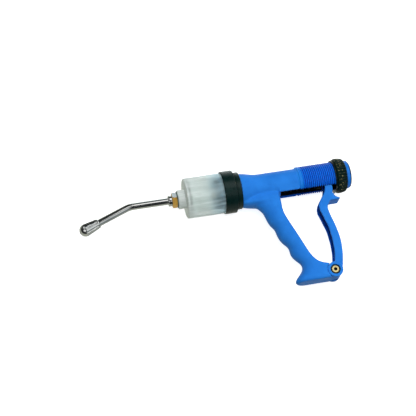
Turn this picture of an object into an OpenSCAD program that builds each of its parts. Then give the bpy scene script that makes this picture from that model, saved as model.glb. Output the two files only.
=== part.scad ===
// Livestock drencher: a pistol-grip dosing gun that lies on its right side.
// X runs along the barrel axis towards the rear, Y is the gun's up, Z its left side.
// The parts are drawn from the front face of the barrel nut, and gun() then moves
// them so that the origin lies on the barrel axis at the end of the hose tail.

/* [Barrel] */
// Outside diameter of the clear barrel
barrel_od = 40.6; // [38:0.1:42]
// Bore that the piston runs in
barrel_bore = 32.6; // [28:0.1:34]
// Thickness of the barrel's front wall
barrel_front_wall = 4.5; // [3.5:0.1:6]
// Step from the barrel down to its tail in the nut
barrel_step = 1; // [0.5:0.1:1.6]
// Depth of the shoulder in front of the barrel's tail
barrel_shoulder = 1.2; // [0.5:0.1:2]
// Rounding of the barrel's front edge
barrel_edge = 1.4; // [0.5:0.1:2.5]
// Diameter of the boss on the front wall
boss_od = 19.2; // [16:0.1:24]
// Length of that boss
boss_len = 7.4; // [7:0.1:10]

/* [Barrel nut] */
// Wall of the front ring round the barrel
nut_wall = 1.3; // [0.9:0.05:3]
// Length of the front ring
nut_front_len = 12.1; // [11.8:0.1:16]
// Outside diameter of the rear ring
nut_rear_od = 36.5; // [34:0.1:40]
// Length of the rear ring
nut_rear_len = 6; // [4:0.1:9]
// Chamfer on the rings' outer edges
nut_chamfer = 1; // [0.4:0.1:1.3]
// Thickness of the seal behind the barrel
barrel_seal_t = 1.4; // [0.8:0.1:1.6]
// Thickness of the step that the seal lies on
nut_step_t = 0.7; // [0.5:0.1:1]

/* [Outlet valve] */
// Hole through the barrel's front wall
outlet_hole = 5.2; // [4:0.1:6]
// Bore of the boss
boss_bore = 11.2; // [10:0.1:13]
// Thickness of wall left under that bore
outlet_seat_t = 3; // [2:0.1:3.4]
// Diameter of the outlet ball
outlet_ball_d = 7.2; // [6.4:0.1:7.6]
// How far the outlet ball lifts
outlet_lift = 1.5; // [0.8:0.1:2]
// Wire of the outlet spring
outlet_wire = 0.6; // [0.4:0.05:0.7]
// Mean diameter of the outlet spring
outlet_spring_d = 5.2; // [4.4:0.1:6]
// Curls of the outlet spring
outlet_curls = 4; // [3:1:4]

/* [Nozzle] */
// Outside diameter of the nozzle tube
tube_od = 7; // [6:0.1:8]
// Bore of the nozzle tube
tube_bore = 5; // [3:0.1:5.4]
// Width across the flats of the brass fitting
hex_af = 14.2; // [13:0.1:18]
// Length of its hexagon
hex_len = 5; // [4.5:0.1:8]
// Length of its threaded end in the boss
fitting_thread_len = 4.4; // [3:0.1:4.8]
// Bore of that end, which holds the outlet spring
fitting_bore = 8; // [7.8:0.1:8.6]
// How deep the tube goes into the fitting
tube_socket = 3; // [2:0.1:3.4]
// Thickness of the washer under the hexagon
washer_t = 0.8; // [0.5:0.1:2]
// Outside diameter of that washer
washer_od = 16.4; // [13:0.1:18]
// Outside diameter of the collar on the tube
collar_od = 11; // [9:0.1:13]
// Length of that collar
collar_len = 3.8; // [2:0.1:6]
// Straight arm from the hexagon to the corner of the bend
arm_len = 43.3; // [30:0.1:70]
// Angle of the bend
bend_angle = 20.4; // [10:0.1:30]
// Radius of the bend
bend_r = 22; // [15:0.5:30]
// Arm from the corner of the bend to the tip's neck
lower_arm_len = 34.4; // [20:0.1:60]
// Length of the tip
tip_len = 21; // [18:0.1:30]
// Largest diameter of the tip
tip_od = 12.6; // [11.5:0.1:15]
// Wall of the tip's neck round the tube
tip_neck_wall = 1.2; // [0.9:0.1:2]
// How deep the tube goes into the tip
tip_socket = 9; // [5:0.1:11]
// Outlet hole of the tip
tip_hole = 3.4; // [2:0.1:4.5]
// Number of flutes round the tip
tip_flutes = 8; // [5:1:10]

/* [Piston] */
// Stroke of the piston
stroke = 24; // [14:0.5:25]
// Gap left in front of the piston at the end of the stroke
end_gap = 0.8; // [0.3:0.1:2]
// Gap behind the piston's hub at rest
hub_gap = 2.5; // [0.5:0.1:6]
// Length of the piston's skirt
piston_len = 14; // [13:0.1:15]
// Length of the piston's hub behind the skirt
hub_len = 3.8; // [2:0.1:4.5]
// Diameter of that hub
hub_od = 15; // [12:0.1:20]
// Thickness of a piston ring
ring_t = 3.2; // [2.4:0.1:3.4]
// Distance from the piston's ends to the middle of the rings
ring_inset = 3; // [2.6:0.1:3.6]
// Diameter of the inlet ball
inlet_ball_d = 5.6; // [5:0.1:6]
// Hole under the inlet ball
inlet_hole = 4; // [3:0.1:4.6]
// How far the inlet ball lifts
inlet_lift = 1.2; // [0.6:0.1:1.4]
// Chamber that the inlet ball moves in
inlet_chamber_d = 8.6; // [7:0.1:9.4]
// Diameter of the retainer in front of the inlet ball
retainer_od = 10.8; // [10:0.1:13]
// Thickness of the retainer
retainer_t = 1.6; // [1:0.1:2]
// Wall between the inlet chamber and the rod's socket
inlet_seat_t = 2.1; // [1.4:0.1:2.6]

/* [Piston rod] */
// Outside diameter of the hollow rod
rod_od = 9; // [8:0.1:9.6]
// Bore of the rod
rod_bore = 5; // [4:0.1:5.6]
// Diameter of the crosshead
crosshead_od = 20.9; // [19.5:0.1:21]
// Thickness of the crosshead
crosshead_t = 5; // [3:0.1:8]
// Width across the flats of the rod's locknut
locknut_af = 12; // [11.4:0.1:13]
// Thickness of the locknut
locknut_t = 4.5; // [3:0.1:6]
// Diameter of the hose tail
tail_od = 9; // [7:0.1:10]
// Length of the hose tail behind its flange
tail_len = 18; // [14:0.5:19]
// Diameter of the hose tail's flange
tail_flange_od = 12.8; // [11:0.1:13]
// Thickness of that flange
tail_flange_t = 2.2; // [1.5:0.1:3]
// Length of the tail's spigot in the rod
tail_spigot_len = 8; // [4:0.5:12]
// Bore of the hose tail
tail_bore = 3; // [2:0.1:3.6]
// Outside diameter of the rod bush
bush_od = 13.9; // [12:0.1:15]
// Length of the rod bush
bush_len = 8.8; // [6:0.1:12]
// Outside diameter of the rod seal
rod_seal_od = 16.8; // [14:0.1:20]
// Thickness of the rod seal
rod_seal_t = 2.8; // [1.6:0.1:4]

/* [Return spring] */
// Wire of the return spring
spring_wire = 1.4; // [1:0.1:1.6]
// Mean diameter of the return spring
spring_d = 17.2; // [16:0.1:18]
// Curls of the return spring
spring_curls = 12; // [8:1:16]
// Thickness of the washer under the spring
spring_seat_t = 1; // [0.6:0.1:2]

/* [Handle] */
// Diameter of the handle's smooth tube
body_od = 27.2; // [26.6:0.1:29]
// Diameter of the flared head behind the barrel nut
head_od = 33.6; // [30:0.1:34]
// Length of that flare
head_len = 20; // [8:0.5:24]
// Bore of the handle's tube
body_bore = 21.6; // [21.4:0.1:22.4]
// Length of the smooth part of the tube
smooth_len = 60; // [58.5:0.5:66]
// Length of the threaded part of the tube
thread_len = 49; // [47.5:0.5:56]
// Diameter of the spigot in the barrel nut
spigot_od = 31; // [28:0.1:32]
// Width of the slot under the tube
slot_w = 18; // [16.6:0.1:18.4]
// Distance from the barrel nut to the slot's front end
slot_front = 40; // [38:0.5:52]
// Distance from the slot's rear end to the end of the tube
slot_back = 9; // [6:0.5:12]
// Distance from the barrel nut back to the pivot
pivot_back = 75.2; // [70:0.1:78]
// Distance from the barrel axis down to the pivot
pivot_drop = 99.8; // [96:0.1:108]
// Radius of the tongue round the pivot
tongue_r = 7; // [6:0.1:7.6]
// Thickness of the tongue
tongue_t = 9.8; // [8:0.1:10]
// Outside diameter of the end collar
end_od = 28.4; // [26:0.1:29]
// Length of the end collar behind the tube
end_len = 5.7; // [4:0.1:8]
// Rounding of the end collar's rear edge
end_edge = 2.4; // [1:0.1:3]
// Hole in the end collar for the feed hose
end_bore = 17; // [13:0.1:18]
// Length of the end collar's spigot in the tube
end_spigot_len = 7; // [4:0.1:9]

/* [Dose setting] */
// Crest diameter of the thread sleeve
thread_od = 30; // [29:0.1:31]
// Diameter of the tube under the sleeve
sleeve_bore = 25.2; // [24.6:0.1:26]
// Pitch of the thread
thread_pitch = 2; // [1.6:0.1:3]
// Depth of the thread
thread_depth = 0.7; // [0.4:0.05:1]
// Outside diameter of the dose nut
dose_od = 34.6; // [34:0.1:38]
// Length of the dose nut
dose_len = 10.1; // [8:0.1:11]
// Rounding of the dose nut's edges
dose_edge = 1.6; // [0.8:0.1:1.8]
// Number of flutes round the dose nut
dose_flutes = 36; // [24:1:40]
// Diameter of the cutter of a flute
flute_d = 1.8; // [1.2:0.1:2.2]
// Distance from the dose nut to the end of the thread
dose_back = 0.6; // [0.3:0.1:2]
// Thickness of the stop washer
stop_t = 1.2; // [0.8:0.1:1.6]
// Outside diameter of the stop washer
stop_od = 33; // [31.6:0.1:33.4]
// How far the stop washer's key reaches in from the thread's crest
stop_key = 3.8; // [3.4:0.1:4.4]

/* [Lever] */
// Width of the lever
lever_w = 15; // [14.6:0.1:15.6]
// Thickness of the lever's side walls
lever_wall = 2.3; // [2:0.05:2.4]
// Thickness of the lever's rear wall
lever_web = 2.6; // [1.6:0.1:3.4]
// How far the lever's nose lies behind the pivot at rest
lever_lean = 12.6; // [11:0.1:13.4]
// Height of the lever's nose above the barrel axis at rest
nose_rise = 0.8; // [0:0.1:1.4]
// Radius of the lever's nose
nose_r = 3.5; // [2.8:0.1:3.6]
// Width of the finger below the nose
finger_w = 4.8; // [4:0.1:5]
// How far the finger's foot lies behind the line from pivot to nose
finger_back = 2.4; // [1.5:0.1:3.5]
// Radius of the lever's ears
ear_r = 7.7; // [7.4:0.1:9]
// Width over the two ears
ear_w = 19.2; // [18:0.1:20]

/* [Pivot] */
// Diameter of the pivot screw
screw_d = 5; // [4:0.1:6]
// Diameter of the screw's head
screw_head_d = 7.8; // [7:0.1:8.6]
// Height of the screw's head
screw_head_h = 2; // [1.2:0.1:2.2]
// Width across the flats of the socket in the head
socket_af = 3; // [2:0.1:4]
// Depth of that socket
socket_depth = 1.4; // [0.8:0.1:1.6]
// Diameter of the recess round the head and the nut
recess_d = 10; // [9:0.1:11]
// Depth of that recess
recess_depth = 2.4; // [1.4:0.1:2.4]
// Outside diameter of the pivot bush
pivot_bush_od = 7.8; // [6.8:0.1:9]
// Width across the flats of the pivot nut
pivot_nut_af = 7.6; // [7:0.1:8.4]
// Height of the pivot nut
pivot_nut_h = 2; // [1.2:0.1:2.4]

/* [Clearances] */
// Radial gap of a running fit
run_gap = 0.08; // [0.05:0.01:0.1]
// Radial gap of fixed pieces
fit_gap = 0.05; // [0.02:0.01:0.1]
// Gap between the lever's nose and the faces it moves between
yoke_gap = 0.4; // [0.3:0.05:0.6]
// Gap beside the tongue and round the ears
ear_gap = 0.3; // [0.2:0.05:0.5]
// Gap between flat faces that meet, and under a seated ball
face_gap = 0.05; // [0.03:0.01:0.1]
// Radial gap between the piston's skirt and the bore
skirt_gap = 0.4; // [0.3:0.05:0.6]
// Gap left in front of the inlet ball when it has lifted
ball_gap = 0.3; // [0.2:0.05:0.6]

/* [Hidden] */
$fn = 96;

blue = "royalblue";
deep_blue = "mediumblue";
black = "#202224";
chrome = "gainsboro";
brass = "goldenrod";
steel = "silver";
rubber = "dimgray";
clear = "#d6e4e0b0";

// Places along the barrel axis, from the front face of the barrel nut
body_x = nut_front_len + nut_rear_len;
thread_x = body_x + smooth_len;
tube_end = thread_x + thread_len;
barrel_tail = nut_front_len - nut_step_t - barrel_seal_t;
spigot_x = barrel_tail + barrel_seal_t + 4 * face_gap;
piston_back = spigot_x - hub_gap - hub_len;
piston_x = piston_back - piston_len;
front_in = piston_x - stroke - end_gap;
barrel_x = front_in - barrel_front_wall;
boss_x = barrel_x - boss_len;
outlet_seat_x = front_in - outlet_seat_t;
hex_back = boss_x - washer_t;
hex_front = hex_back - hex_len;
spring_floor = hex_front + tube_socket + 1;
outlet_reach = sqrt(pow(outlet_ball_d / 2, 2) - pow(outlet_hole / 2, 2));
outlet_ball_x = outlet_seat_x - outlet_reach - face_gap;
inlet_reach = sqrt(pow(inlet_ball_d / 2, 2) - pow(inlet_hole / 2, 2));
inlet_ball_x = piston_x + retainer_t + ball_gap + inlet_lift + inlet_ball_d / 2;
inlet_seat_x = inlet_ball_x + inlet_reach + face_gap;
rod_front = inlet_seat_x + inlet_seat_t;
ring_places = [piston_x + ring_inset, piston_back - ring_inset];
bulkhead_back = spigot_x + rod_seal_t + bush_len + 2 * face_gap;
spring_front = bulkhead_back + spring_seat_t;

// The bore, the nut's rear ring and the spigot are given for this barrel, and keep
// their walls when the barrel changes
drawn_barrel_od = 40.6;
barrel_more = barrel_od - drawn_barrel_od;
bore_d = barrel_bore + barrel_more;
nut_rear_d = nut_rear_od + barrel_more;
spigot_d = spigot_od + barrel_more;

// The handle's tube, what runs in it and what turns on it are given for this thread,
// and keep their walls when the thread changes
drawn_thread_od = 30;
thread_more = thread_od - drawn_thread_od;
sleeve_d = sleeve_bore + thread_more;
body_d = body_od + thread_more;
head_d = head_od + thread_more;
body_hole = body_bore + thread_more;
crosshead_d = crosshead_od + thread_more;
coil_d = spring_d + thread_more;
end_d = end_od + thread_more;
end_hole = end_bore + thread_more;
dose_d = dose_od + thread_more;
stop_d = stop_od + thread_more;

// Diameters that follow from others
nut_od = barrel_od + 2 * fit_gap + 2 * nut_wall;
barrel_tail_od = barrel_od - 2 * barrel_step;
piston_od = bore_d - 2 * skirt_gap;
ring_mid = bore_d / 2 - run_gap - ring_t / 2;
tip_neck_od = tube_od + 2 * tip_neck_wall;

// The lever's pivot and nose at rest, and what lies on either side of the nose
pivot = [body_x + pivot_back, -pivot_drop];
nose = [pivot.x + lever_lean, nose_rise];
crosshead_back = nose.x - nose_r - yoke_gap;
crosshead_front = crosshead_back - crosshead_t;
flange_front = nose.x + nose_r + yoke_gap;
tail_front = flange_front + tail_flange_t;
tail_end = tail_front + tail_len;
dose_rear = tube_end - dose_back;
dose_front = dose_rear - dose_len;
stop_rear = dose_front - face_gap;
slot_x = body_x + slot_front;
slot_end = tube_end - slot_back;
base_drop = pivot_drop + tongue_r;
lever_gap = lever_w - 2 * lever_wall;

// Grip rows: depth below the barrel axis, then the place behind the barrel nut.
// They are drawn for this depth of base and this pivot, and follow both.
drawn_drop = 107.5;
drawn_back = 75.2;
grip_front = [
  [2, -6], [13, -6], [16.8, -5], [18.3, 0], [19.3, 8], [20.9, 12.4], [24.6, 16.2], [28.3, 18.6],
  [33, 19.9], [37.4, 21.1], [42.5, 23.1], [46.5, 26], [55, 27.7], [61.5, 30.5], [68.1, 35.5],
  [76.4, 36.5], [81, 39], [87, 44], [90.5, 44.9], [94, 44], [97.5, 41.4], [101, 37.6],
  [104.5, 35.1], [106.5, 35.7], [107.5, 37.4]];
grip_rear = [
  [2, 37.5], [20, 37.6], [32, 37.6], [40, 39.7], [47.3, 42.4], [62.4, 48.1], [77.6, 53.7],
  [84, 57], [89.4, 61.9], [92, 67.4], [93.2, 73], [95, 74], [107.5, 74]];
// Half width of the grip, and length of its rounded front, at each depth
grip_half = [
  [2, 7.6], [8, 9], [11, 9.9], [14, 10.8], [18, 11.6], [26, 12], [45, 11.6], [70, 10.8],
  [90, 10], [104, 10], [106.4, 9.4], [107.5, 8.2]];
grip_round = [
  [2, 30], [18, 30], [22, 25], [26, 18], [33, 14], [50, 13], [90, 12], [99, 14], [104, 11],
  [107.5, 9]];
grip_rear_r = 3;
grip_top_step = 1.5;
grip_step = 2.6;
grip_top_end = 29;

// Lever rows: share of the way from the pivot to the nose, then the front and the
// rear edge, measured from the line through both
lever_rows = [
  [0, 0, 7.7], [0.089, 0.8, 9.2], [0.167, 1.5, 9.9], [0.225, 1.6, 9.9], [0.301, 1, 9.4],
  [0.376, -0.1, 7.9], [0.449, -1.6, 6], [0.514, -4, 3.8], [0.572, -6, 1.9], [0.642, -8.6, 0.1],
  [0.679, -8.8, 0.8], [0.717, -7.8, 3.3], [0.775, -4.5, 6], [0.80, -2.4, 6.6], [0.848, -0.8, 7.4],
  [0.885, -0.6, 6.6]];
lever_steps = 44;
// The shelf's outline, behind the line through pivot and nose and above the pivot
shelf_rows = [
  [0.81, 4.5], [0.796, 7.2], [0.772, 8.2], [0.75, 10.2], [0.735, 13.9], [0.722, 13.7],
  [0.722, 3.4]];

// A smooth curve through rows, sorted by their first column, read in column k
function row_at(t, rows, i = 0) =
  i >= len(rows) - 2 || t <= rows[i + 1][0] ? i : row_at(t, rows, i + 1);
function row_slope(rows, k, i) =
  let (a = max(0, i - 1), b = min(len(rows) - 1, i + 1))
  (rows[b][k] - rows[a][k]) / (rows[b][0] - rows[a][0]);
function curve(t, rows, k = 1) =
  let (i = row_at(t, rows),
       h = rows[i + 1][0] - rows[i][0],
       s = (t - rows[i][0]) / h)
  rows[i][k] * (2 * s * s * s - 3 * s * s + 1)
  + h * row_slope(rows, k, i) * (s * s * s - 2 * s * s + s)
  + rows[i + 1][k] * (3 * s * s - 2 * s * s * s)
  + h * row_slope(rows, k, i + 1) * (s * s * s - s * s);

// Triangles of a tube of rings with the same number of points, closed at both ends
function ring_faces(rings, sides) = concat(
  [for (i = [0 : rings - 2], j = [0 : sides - 1]) each
    let (a = i * sides + j, b = i * sides + (j + 1) % sides)
    [[a, b, b + sides], [a, b + sides, a + sides]]],
  [for (j = [1 : sides - 2]) [0, j + 1, j]],
  let (last = (rings - 1) * sides)
  [for (j = [1 : sides - 2]) [last, last + j, last + j + 1]]);

// Moves what is drawn from the barrel nut so that the origin is the hose tail's end
module gun() translate([-tail_end, 0, 0]) children();
module along_x(x) translate([x, 0, 0]) rotate([0, 90, 0]) children();
module rod_x(d, x0, x1) along_x(x0) cylinder(d = d, h = x1 - x0);
module hex_x(af, x0, x1) along_x(x0) cylinder(d = af / cos(30), h = x1 - x0, $fn = 6);
module turned() rotate([0, 90, 0]) rotate_extrude() children();
module pin_z(d, z0, z1) translate([pivot.x, pivot.y, z0]) cylinder(d = d, h = z1 - z0);

// A coil spring along X, with its least gap to itself printed
module coil(x0, x1, mean_d, wire, curls) {
  rings_per_curl = 8;
  sides = 6;
  run = x1 - x0 - wire;
  count = curls * rings_per_curl;
  tilt = atan(run / (curls * PI * mean_d));
  points = [for (i = [0 : count], j = [0 : sides - 1])
    let (turn = 360 * i / rings_per_curl,
         side = 360 * j / sides,
         out = mean_d / 2 + wire / 2 * cos(side),
         lift = wire / 2 * sin(side))
    [x0 + wire / 2 + run * i / count + lift * cos(tilt),
     out * cos(turn) + lift * sin(tilt) * sin(turn),
     out * sin(turn) - lift * sin(tilt) * cos(turn)]];
  spine = [for (i = [0 : count])
    let (turn = 360 * i / rings_per_curl)
    [x0 + wire / 2 + run * i / count, mean_d / 2 * cos(turn), mean_d / 2 * sin(turn)]];
  gaps = [for (i = [0 : count - rings_per_curl + 1], j = [i + rings_per_curl - 1 : count])
    norm(spine[i] - spine[j]) - wire];
  echo(str("least gap between curls: ", min(gaps)));
  polyhedron(points, ring_faces(count + 1, sides), convexity = 10);
}

// Places on the lower arm of the nozzle, measured from the corner of the bend
module on_lower_arm(s) {
  translate([hex_front - arm_len, 0, 0])
    rotate([0, 0, bend_angle])
      rotate([0, -90, 0])
        translate([0, 0, s])
          children();
}

// The tube's path as a round bar, with each end longer by the given amount. The bend
// is a hair thicker than the arms, which end inside it.
module nozzle_path(d, more) {
  lap = 0.3;
  swell = 0.02;
  bend_run = bend_r * tan(bend_angle / 2);
  corner = hex_front - arm_len;
  rod_x(d, corner + bend_run - lap, hex_front + tube_socket + more);
  translate([corner + bend_run, -bend_r, 0])
    rotate([0, 0, 90])
      rotate_extrude(angle = bend_angle)
        translate([bend_r, 0])
          circle(d = d + swell);
  on_lower_arm(bend_run - lap)
    cylinder(d = d, h = lower_arm_len + tip_socket - bend_run + lap + more);
}

module nozzle_tube() color(chrome) gun() difference() {
  nozzle_path(tube_od, 0);
  nozzle_path(tube_bore, 1);
}

module nozzle_tip() color(chrome) gun() on_lower_arm(lower_arm_len) {
  dome_r = tip_od / 2;
  flute_r = 1.1;
  flute_depth = 0.55;
  flute_tilt = atan((tip_od - tip_neck_od) / 2 / (tip_len - dome_r));
  dome_steps = 10;
  difference() {
    rotate_extrude()
      polygon(concat(
        [[0, 0], [tip_neck_od / 2 - 0.6, 0], [tip_neck_od / 2, 0.6]],
        [for (i = [0 : dome_steps])
          let (a = 90 * i / dome_steps)
          [dome_r * cos(a), tip_len - dome_r + dome_r * sin(a)]]));
    translate([0, 0, -1])
      cylinder(d = tube_od + 2 * fit_gap, h = tip_socket + 1);
    cylinder(d = tip_hole, h = tip_len + 1);
    for (i = [0 : tip_flutes - 1])
      rotate([0, 0, 360 * (i + 0.5) / tip_flutes])
        translate([tip_neck_od / 2 + flute_r - flute_depth, 0, 1.6])
          rotate([0, flute_tilt, 0]) {
            cylinder(r = flute_r, h = tip_len - dome_r - 1, $fn = 24);
            translate([0, 0, tip_len - dome_r - 1])
              sphere(r = flute_r, $fn = 24);
          }
  }
}

module nozzle_collar() color(chrome) gun() difference() {
  turned() polygon([
    [0, hex_front - collar_len], [collar_od / 2 - 0.7, hex_front - collar_len],
    [collar_od / 2, hex_front - collar_len + 0.7], [collar_od / 2, hex_front], [0, hex_front]]);
  rod_x(tube_od + 2 * fit_gap, hex_front - collar_len - 1, hex_front + 1);
}

module nozzle_fitting() color(brass) gun() {
  corner_r = hex_af / 2 / cos(30);
  difference() {
    union() {
      intersection() {
        hex_x(hex_af, hex_front, hex_back);
        turned() polygon([
          [0, hex_front], [hex_af / 2, hex_front], [corner_r, hex_front + 0.7],
          [corner_r, hex_back], [0, hex_back]]);
      }
      rod_x(boss_bore - 2 * fit_gap, hex_back - 1, hex_back + washer_t + fitting_thread_len);
    }
    rod_x(tube_od + 2 * fit_gap, hex_front - 1, hex_front + tube_socket);
    rod_x(tube_bore - 1, hex_front, spring_floor + 1);
    rod_x(fitting_bore, spring_floor, boss_x + fitting_thread_len + 1);
  }
}

module nozzle_washer() color(rubber) gun() difference() {
  rod_x(washer_od, hex_back, boss_x);
  rod_x(boss_bore + 2 * fit_gap, hex_back - 1, boss_x + 1);
}

module outlet_spring() color(steel) gun() {
  ball_touch = sqrt(pow(outlet_ball_d / 2, 2) - pow(outlet_spring_d / 2, 2));
  coil(spring_floor + face_gap,
       outlet_ball_x - ball_touch - outlet_wire / 2,
       outlet_spring_d, outlet_wire, outlet_curls);
}

module outlet_ball() color(steel) gun() translate([outlet_ball_x, 0, 0]) sphere(d = outlet_ball_d);

module barrel() color(clear) gun() difference() {
  union() {
    turned() polygon([
      [0, barrel_x], [barrel_od / 2 - barrel_edge, barrel_x],
      [barrel_od / 2 - barrel_edge * 0.3, barrel_x + barrel_edge * 0.3],
      [barrel_od / 2, barrel_x + barrel_edge], [barrel_od / 2, barrel_shoulder],
      [barrel_tail_od / 2, barrel_shoulder], [barrel_tail_od / 2, barrel_tail], [0, barrel_tail]]);
    turned() polygon([
      [0, boss_x], [boss_od / 2 - 0.6, boss_x], [boss_od / 2, boss_x + 0.6],
      [boss_od / 2, barrel_x + 1], [0, barrel_x + 1]]);
  }
  rod_x(bore_d, front_in, barrel_tail + 1);
  rod_x(boss_bore, boss_x - 1, outlet_seat_x);
  rod_x(outlet_hole, outlet_seat_x - 1, front_in + 1);
}

module barrel_seal() color(rubber) gun() difference() {
  rod_x(barrel_tail_od, barrel_tail, barrel_tail + barrel_seal_t);
  rod_x(bore_d + 0.4, barrel_tail - 1, barrel_tail + barrel_seal_t + 1);
}

module barrel_nut() color(black) gun() difference() {
  turned() polygon([
    [0, 0], [nut_od / 2 - nut_chamfer / 2, 0], [nut_od / 2, nut_chamfer],
    [nut_od / 2, nut_front_len - nut_chamfer / 2], [nut_od / 2 - nut_chamfer / 2, nut_front_len],
    [nut_rear_d / 2, nut_front_len], [nut_rear_d / 2, body_x - nut_chamfer / 2],
    [nut_rear_d / 2 - nut_chamfer / 2, body_x], [0, body_x]]);
  rod_x(barrel_od + 2 * fit_gap, -1, barrel_shoulder + face_gap);
  rod_x(barrel_tail_od + 2 * fit_gap, -1, barrel_tail + barrel_seal_t);
  rod_x(spigot_d + 2 * fit_gap, barrel_tail, body_x + 1);
}

module inlet_retainer() color(brass) gun() {
  holes = 4;
  difference() {
    rod_x(retainer_od, piston_x, piston_x + retainer_t);
    for (i = [0 : holes - 1])
      rotate([360 * i / holes, 0, 0])
        translate([0, inlet_chamber_d / 3, 0])
          rod_x(2, piston_x - 1, piston_x + retainer_t + 1);
  }
}

module inlet_ball() color(steel) gun() translate([inlet_ball_x, 0, 0]) sphere(d = inlet_ball_d);

module piston_head() color(black) gun() difference() {
  groove_w = ring_t + 4 * fit_gap;
  groove_d = 2 * ring_mid - ring_t - 2 * fit_gap;
  union() {
    rod_x(piston_od, piston_x, piston_back);
    rod_x(hub_od, piston_back - 1, piston_back + hub_len);
  }
  for (x = ring_places)
    difference() {
      rod_x(piston_od + 1, x - groove_w / 2, x + groove_w / 2);
      rod_x(groove_d, x - groove_w, x + groove_w);
    }
  rod_x(retainer_od + 2 * fit_gap, piston_x - 1, piston_x + retainer_t);
  rod_x(inlet_chamber_d, piston_x, inlet_seat_x);
  rod_x(inlet_hole, inlet_seat_x - 1, rod_front + 1);
  rod_x(rod_od + 2 * fit_gap, rod_front, piston_back + hub_len + 1);
}

module piston_rings() color(rubber) gun()
  for (x = ring_places)
    along_x(x)
      rotate_extrude()
        translate([ring_mid, 0])
          circle(d = ring_t);

module piston_rod() color(steel) gun() difference() {
  rod_x(rod_od, rod_front, flange_front);
  rod_x(rod_bore, rod_front - 1, flange_front + 1);
}

module rod_seal() color(rubber) gun() difference() {
  rod_x(rod_seal_od, spigot_x + face_gap, spigot_x + rod_seal_t);
  rod_x(rod_od + 2 * run_gap, spigot_x - 1, spigot_x + rod_seal_t + 1);
}

module rod_bush() color(brass) gun() difference() {
  rod_x(bush_od, spigot_x + rod_seal_t + face_gap, bulkhead_back - face_gap);
  rod_x(rod_od + 2 * run_gap, spigot_x, bulkhead_back + 1);
}

module spring_seat() color(steel) gun() difference() {
  rod_x(body_hole - 1, bulkhead_back, spring_front);
  rod_x(rod_od + 1, bulkhead_back - 1, spring_front + 1);
}

module return_spring() color(steel) gun()
  coil(spring_front + face_gap, crosshead_front - face_gap, coil_d, spring_wire, spring_curls);

module rod_locknut() color(brass) gun() difference() {
  hex_x(locknut_af, crosshead_front - locknut_t, crosshead_front);
  rod_x(rod_od + 2 * fit_gap, crosshead_front - locknut_t - 1, crosshead_front + 1);
}

module crosshead() color(black) gun() difference() {
  rod_x(crosshead_d, crosshead_front, crosshead_back);
  rod_x(rod_od + 2 * fit_gap, crosshead_front - 1, crosshead_back + 1);
}

module hose_tail() color(brass) gun() difference() {
  union() {
    rod_x(tail_flange_od, flange_front, tail_front);
    rod_x(tail_od, flange_front + 0.5, tail_end);
    rod_x(rod_bore - 2 * fit_gap, flange_front - tail_spigot_len, tail_front);
  }
  rod_x(tail_bore, flange_front - tail_spigot_len - 1, tail_end + 1);
}

// One level section of the grip at a depth, as points from the front round the near side
function grip_ring(d) =
  let (shift = (pivot_back - drawn_back) * d / drawn_drop,
       front = body_x + shift + curve(d, grip_front),
       rear = body_x + shift + curve(d, grip_rear),
       half = curve(d, grip_half),
       long = min(curve(d, grip_round), rear - front - grip_rear_r),
       near = concat(
         [for (a = [0 : 15 : 90]) [front + long * (1 - cos(a)), half * sin(a)]],
         [for (a = [0 : 30 : 90])
           [rear - grip_rear_r * (1 - sin(a)), half - grip_rear_r * (1 - cos(a))]]),
       last = len(near) - 1,
       far = [for (i = [last : -1 : 1]) [near[i].x, -near[i].y]])
  [for (p = concat(near, far)) [p.x, -d * base_drop / drawn_drop, p.y]];

module grip() {
  depths = concat(
    [for (d = [2 : grip_top_step : grip_top_end]) d],
    [for (d = [grip_top_end + grip_step : grip_step : drawn_drop - 2.5]) d],
    [drawn_drop - 1.8, drawn_drop - 0.7, drawn_drop]);
  rings = [for (d = depths) grip_ring(d)];
  sides = len(rings[0]);
  polyhedron([for (ring = rings) each ring], ring_faces(len(rings), sides), convexity = 6);
}

module handle_tube() {
  flare_steps = 6;
  turned() polygon(concat(
    [[0, spigot_x], [spigot_d / 2, spigot_x], [spigot_d / 2, body_x + face_gap]],
    [for (i = [0 : flare_steps])
      let (s = i / flare_steps)
      [body_d / 2 + (head_d - body_d) / 2 * (1 + cos(180 * s)) / 2,
       body_x + face_gap + head_len * s]],
    [[body_d / 2, thread_x], [sleeve_d / 2, thread_x], [sleeve_d / 2, tube_end],
     [0, tube_end]]));
}

module tongue() {
  translate([pivot.x, pivot.y, -tongue_t / 2])
    cylinder(r = tongue_r, h = tongue_t);
  translate([pivot.x - 2 * ear_r, pivot.y - tongue_r, -tongue_t / 2])
    cube([2 * ear_r, 2 * tongue_r, tongue_t]);
}

module handle_body() color(blue) gun() difference() {
  union() {
    handle_tube();
    difference() {
      intersection() {
        grip();
        translate([body_x + face_gap, -base_drop - 1, -body_d])
          cube([tube_end, base_drop + 1, 2 * body_d]);
      }
      pin_z(2 * (ear_r + ear_gap), -ear_w, ear_w);
    }
    tongue();
  }
  rod_x(body_hole, bulkhead_back, tube_end + 1);
  rod_x(bush_od + 2 * fit_gap, spigot_x, bulkhead_back + 1);
  rod_x(rod_seal_od + 2 * fit_gap, spigot_x - 1, spigot_x + rod_seal_t);
  translate([slot_x, -thread_od, -slot_w / 2])
    cube([slot_end - slot_x, thread_od, slot_w]);
  pin_z(pivot_bush_od + 2 * fit_gap, -ear_w, ear_w);
}

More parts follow.
